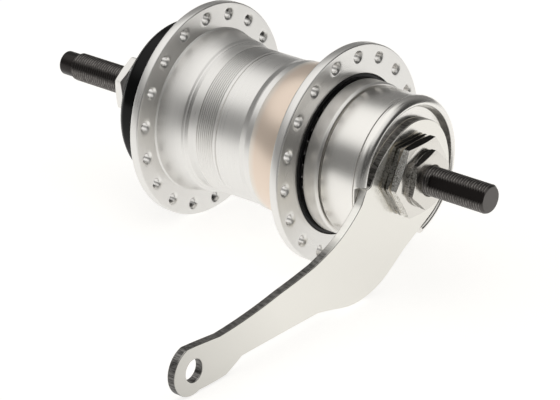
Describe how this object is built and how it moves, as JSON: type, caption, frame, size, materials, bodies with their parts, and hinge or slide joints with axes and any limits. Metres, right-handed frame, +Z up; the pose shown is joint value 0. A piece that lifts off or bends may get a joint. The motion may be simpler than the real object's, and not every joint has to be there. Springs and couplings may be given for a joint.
{
  "type": "bicycle hub gear",
  "caption": "Rear bicycle hub with an internal planetary gear, a back-pedal brake with its reaction arm, two drilled spoke flanges and a threaded axle.",
  "frame": {"origin": "on the hub's axis, midway between the centre planes of the two spoke flanges", "axes": "+Y along the axis towards the brake side, +X forwards, the way the brake arm points, +Z up"},
  "size_m": [0.1473, 0.1782, 0.072],
  "materials": {
    "turned_aluminium": "satin turned",
    "label": "printed film",
    "black_rubber": "matt",
    "black_steel": "black oxide",
    "polished_chrome": "mirror",
    "polished_steel": "polished",
    "black_plastic": "gloss",
    "gear_steel": "ground and oiled"
  },
  "bodies": {
    "axle_assembly": {"axle": "black_steel", "brake_cone": "polished_chrome", "brake_cap": "polished_chrome", "brake_arm": "polished_steel", "arm_nut": "polished_steel", "cone_locknut": "polished_steel", "left_locknut": "polished_steel", "right_cone": "gear_steel", "right_locknut": "polished_steel", "shoe_spring": "gear_steel", "clutch_spring": "gear_steel"},
    "shell": {"hub_shell": "turned_aluminium", "label_band": "label", "dust_seal": "black_rubber", "right_ball_cup": "gear_steel", "left_ratchet_ring": "gear_steel"},
    "left_bearing": {"left_balls": "gear_steel", "left_retainer": "gear_steel"},
    "shell_bearing": {"right_inner_balls": "gear_steel", "right_inner_retainer": "gear_steel"},
    "driver_bearing": {"right_outer_balls": "gear_steel", "right_outer_retainer": "gear_steel"},
    "driver_unit": {"driver": "gear_steel", "right_dust_cap": "black_plastic"},
    "clutch": {"sliding_clutch": "gear_steel"},
    "selector": {"push_rod": "gear_steel", "axle_key": "gear_steel"},
    "ring": {"ring_gear": "gear_steel", "ring_pawl_pins": "gear_steel"},
    "carrier": {"planet_carrier": "gear_steel", "planet_pins": "gear_steel", "carrier_pawl_pins": "gear_steel"},
    "expander": {"brake_expander": "gear_steel"},
    "planet_1": {"planet_gear_1": "gear_steel"},
    "planet_2": {"planet_gear_2": "gear_steel"},
    "planet_3": {"planet_gear_3": "gear_steel"},
    "planet_4": {"planet_gear_4": "gear_steel"},
    "ring_pawl_body_1": {"ring_pawl_1": "gear_steel"},
    "ring_pawl_body_2": {"ring_pawl_2": "gear_steel"},
    "carrier_pawl_body_1": {"carrier_pawl_1": "gear_steel"},
    "carrier_pawl_body_2": {"carrier_pawl_2": "gear_steel"},
    "shoe_1": {"brake_shoe_1": "gear_steel"},
    "shoe_2": {"brake_shoe_2": "gear_steel"},
    "shoe_3": {"brake_shoe_3": "gear_steel"},
    "shoe_4": {"brake_shoe_4": "gear_steel"}
  },
  "joints": [
    {"name": "shell_spin", "type": "hinge", "parent": "axle_assembly", "child": "shell", "pos_m": [0, 0, 0], "axis": [0, 1, 0], "continuous": true},
    {"name": "carrier_spin", "type": "hinge", "parent": "axle_assembly", "child": "carrier", "pos_m": [0, -0.0145, 0], "axis": [0, 1, 0], "continuous": true},
    {"name": "ring_spin", "type": "hinge", "parent": "axle_assembly", "child": "ring", "pos_m": [0, -0.0145, 0], "axis": [0, 1, 0], "continuous": true},
    {"name": "driver_spin", "type": "hinge", "parent": "axle_assembly", "child": "driver_unit", "pos_m": [0, -0.045, 0], "axis": [0, 1, 0], "continuous": true},
    {"name": "left_bearing_spin", "type": "hinge", "parent": "axle_assembly", "child": "left_bearing", "pos_m": [0, 0.0262, 0], "axis": [0, 1, 0], "continuous": true},
    {"name": "shell_bearing_spin", "type": "hinge", "parent": "axle_assembly", "child": "shell_bearing", "pos_m": [0, -0.037, 0], "axis": [0, 1, 0], "continuous": true},
    {"name": "driver_bearing_spin", "type": "hinge", "parent": "axle_assembly", "child": "driver_bearing", "pos_m": [0, -0.0496, 0], "axis": [0, 1, 0], "continuous": true},
    {"name": "push_rod_slide", "type": "slide", "parent": "axle_assembly", "child": "selector", "axis": [0, 1, 0], "range_m": [0, 0.005], "deforming": ["clutch_spring"]},
    {"name": "clutch_slide", "type": "slide", "parent": "driver_unit", "child": "clutch", "axis": [0, 1, 0], "range_m": [0, 0.005]},
    {"name": "brake_expander_slide", "type": "slide", "parent": "axle_assembly", "child": "expander", "axis": [0, 1, 0], "range_m": [0, 0.0012]},
    {"name": "planet_1_spin", "type": "hinge", "parent": "carrier", "child": "planet_1", "pos_m": [0.012, -0.0145, 0], "axis": [0, 1, 0], "continuous": true},
    {"name": "planet_2_spin", "type": "hinge", "parent": "carrier", "child": "planet_2", "pos_m": [0, -0.0145, 0.012], "axis": [0, 1, 0], "continuous": true},
    {"name": "planet_3_spin", "type": "hinge", "parent": "carrier", "child": "planet_3", "pos_m": [-0.012, -0.0145, 0], "axis": [0, 1, 0], "continuous": true},
    {"name": "planet_4_spin", "type": "hinge", "parent": "carrier", "child": "planet_4", "pos_m": [0, -0.0145, -0.012], "axis": [0, 1, 0], "continuous": true},
    {"name": "ring_pawl_1_lift", "type": "hinge", "parent": "ring", "child": "ring_pawl_body_1", "pos_m": [0.01319, -0.0275, 0.01319], "axis": [0, -1, 0], "range_deg": [0, 9]},
    {"name": "ring_pawl_2_lift", "type": "hinge", "parent": "ring", "child": "ring_pawl_body_2", "pos_m": [-0.01319, -0.0275, -0.01319], "axis": [0, -1, 0], "range_deg": [0, 9]},
    {"name": "carrier_pawl_1_lift", "type": "hinge", "parent": "carrier", "child": "carrier_pawl_body_1", "pos_m": [0.01865, -0.0023, 0], "axis": [0, -1, 0], "range_deg": [0, 9]},
    {"name": "carrier_pawl_2_lift", "type": "hinge", "parent": "carrier", "child": "carrier_pawl_body_2", "pos_m": [-0.01865, -0.0023, 0], "axis": [0, -1, 0], "range_deg": [0, 9]},
    {"name": "brake_shoe_1_slide", "type": "slide", "parent": "axle_assembly", "child": "shoe_1", "axis": [0.5145, 0.8575, 0], "range_m": [0, 0.0008]},
    {"name": "brake_shoe_2_slide", "type": "slide", "parent": "axle_assembly", "child": "shoe_2", "axis": [0, 0.8575, 0.5145], "range_m": [0, 0.0008]},
    {"name": "brake_shoe_3_slide", "type": "slide", "parent": "axle_assembly", "child": "shoe_3", "axis": [-0.5145, 0.8575, 0], "range_m": [0, 0.0008]},
    {"name": "brake_shoe_4_slide", "type": "slide", "parent": "axle_assembly", "child": "shoe_4", "axis": [0, 0.8575, -0.5145], "range_m": [0, 0.0008]}
  ],
  "couplings": [
    {"joint": "ring_spin", "follows": "carrier_spin", "ratio": 1.3636},
    {"joint": "driver_spin", "follows": "carrier_spin", "ratio": 1.3636},
    {"joint": "left_bearing_spin", "follows": "shell_spin", "ratio": 0.57692},
    {"joint": "shell_bearing_spin", "follows": "shell_spin", "ratio": 0.57022},
    {"joint": "driver_bearing_spin", "follows": "carrier_spin", "ratio": 0.82845},
    {"joint": "clutch_slide", "follows": "push_rod_slide", "ratio": 1},
    {"joint": "planet_1_spin", "follows": "carrier_spin", "ratio": 1.1429},
    {"joint": "planet_2_spin", "follows": "carrier_spin", "ratio": 1.1429},
    {"joint": "planet_3_spin", "follows": "carrier_spin", "ratio": 1.1429},
    {"joint": "planet_4_spin", "follows": "carrier_spin", "ratio": 1.1429},
    {"joint": "brake_shoe_1_slide", "follows": "brake_expander_slide", "ratio": 0.5831},
    {"joint": "brake_shoe_2_slide", "follows": "brake_expander_slide", "ratio": 0.5831},
    {"joint": "brake_shoe_3_slide", "follows": "brake_expander_slide", "ratio": 0.5831},
    {"joint": "brake_shoe_4_slide", "follows": "brake_expander_slide", "ratio": 0.5831}
  ]
}
